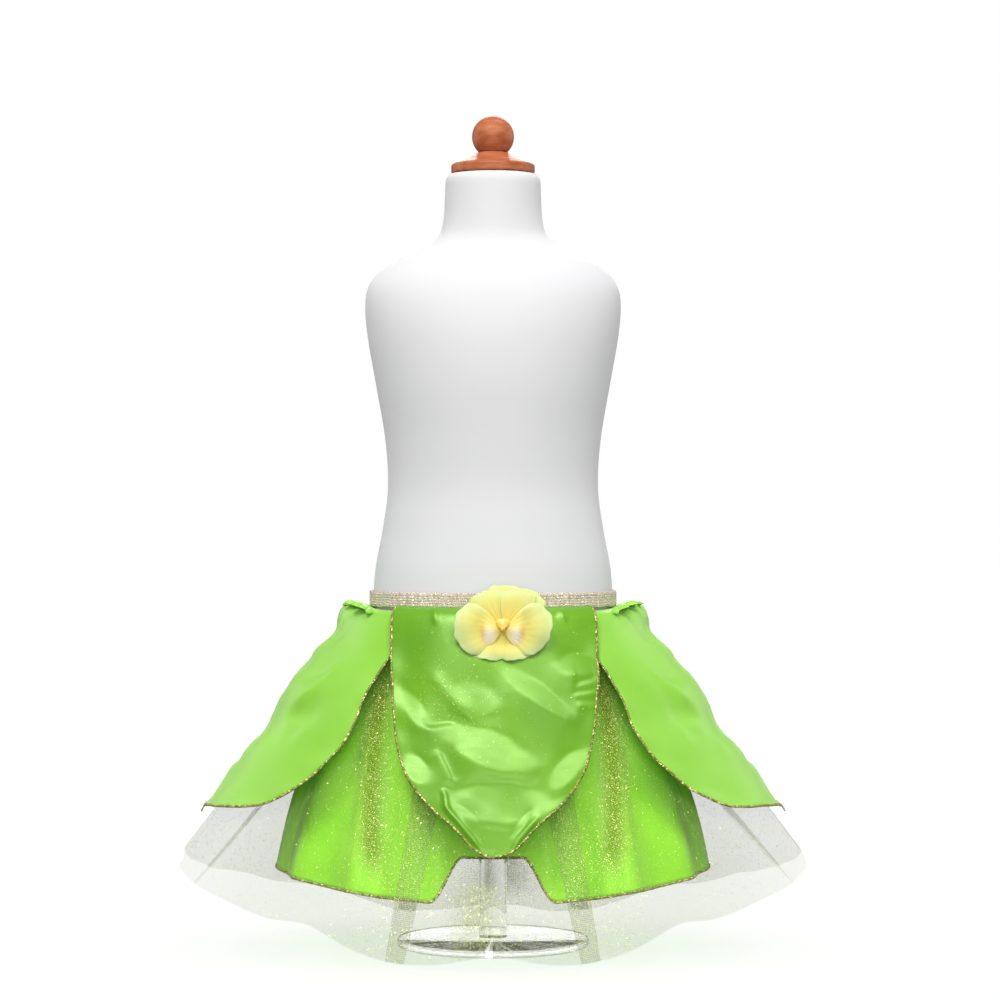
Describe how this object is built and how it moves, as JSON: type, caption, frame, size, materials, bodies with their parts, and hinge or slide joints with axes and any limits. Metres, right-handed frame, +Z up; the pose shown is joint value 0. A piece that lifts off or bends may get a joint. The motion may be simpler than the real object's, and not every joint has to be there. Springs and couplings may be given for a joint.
{
  "type": "fairy costume skirt on a limbless dress form",
  "caption": "Child's fairy costume skirt: green satin leaf petals over glitter tulle and a satin underskirt, with a fabric flower, on a white limbless dress form with a wooden cap.",
  "frame": {"origin": "centre of the stand base's underside, on the floor", "axes": "+Z up along the dress form's axis, -Y towards the front with the flower, +X towards the viewer's right"},
  "size_m": [0.5744, 0.3496, 0.7457],
  "materials": {
    "satin": "glossy lime green satin",
    "under_satin": "glossy lime green satin",
    "tulle": "sheer ivory tulle with gold glitter",
    "elastic": "woven elastic with gold glitter thread",
    "flower": "pale yellow-green flower cloth",
    "flower_centre": "moulded orange-yellow centre",
    "form_cloth": "smooth white jersey over foam",
    "wood": "varnished reddish beech",
    "stand_acrylic": "clear cast acrylic"
  },
  "bodies": {
    "root": {"tulle_front": "tulle", "tulle_back": "tulle", "underskirt_left": "under_satin", "underskirt_right": "under_satin", "petal_front": "satin", "petal_back": "satin", "petal_left": "satin", "petal_right": "satin", "waistband": "elastic", "flower_back": "flower", "flower_upper_left": "flower", "flower_upper_right": "flower", "flower_lip": "flower", "flower_side_left": "flower", "flower_side_right": "flower", "flower_hood": "flower", "flower_throat": "flower_centre", "form_torso": "form_cloth", "neck_cap": "wood", "finial_ball": "wood", "stand_pole": "stand_acrylic", "stand_base": "stand_acrylic"}
  },
  "joints": []
}
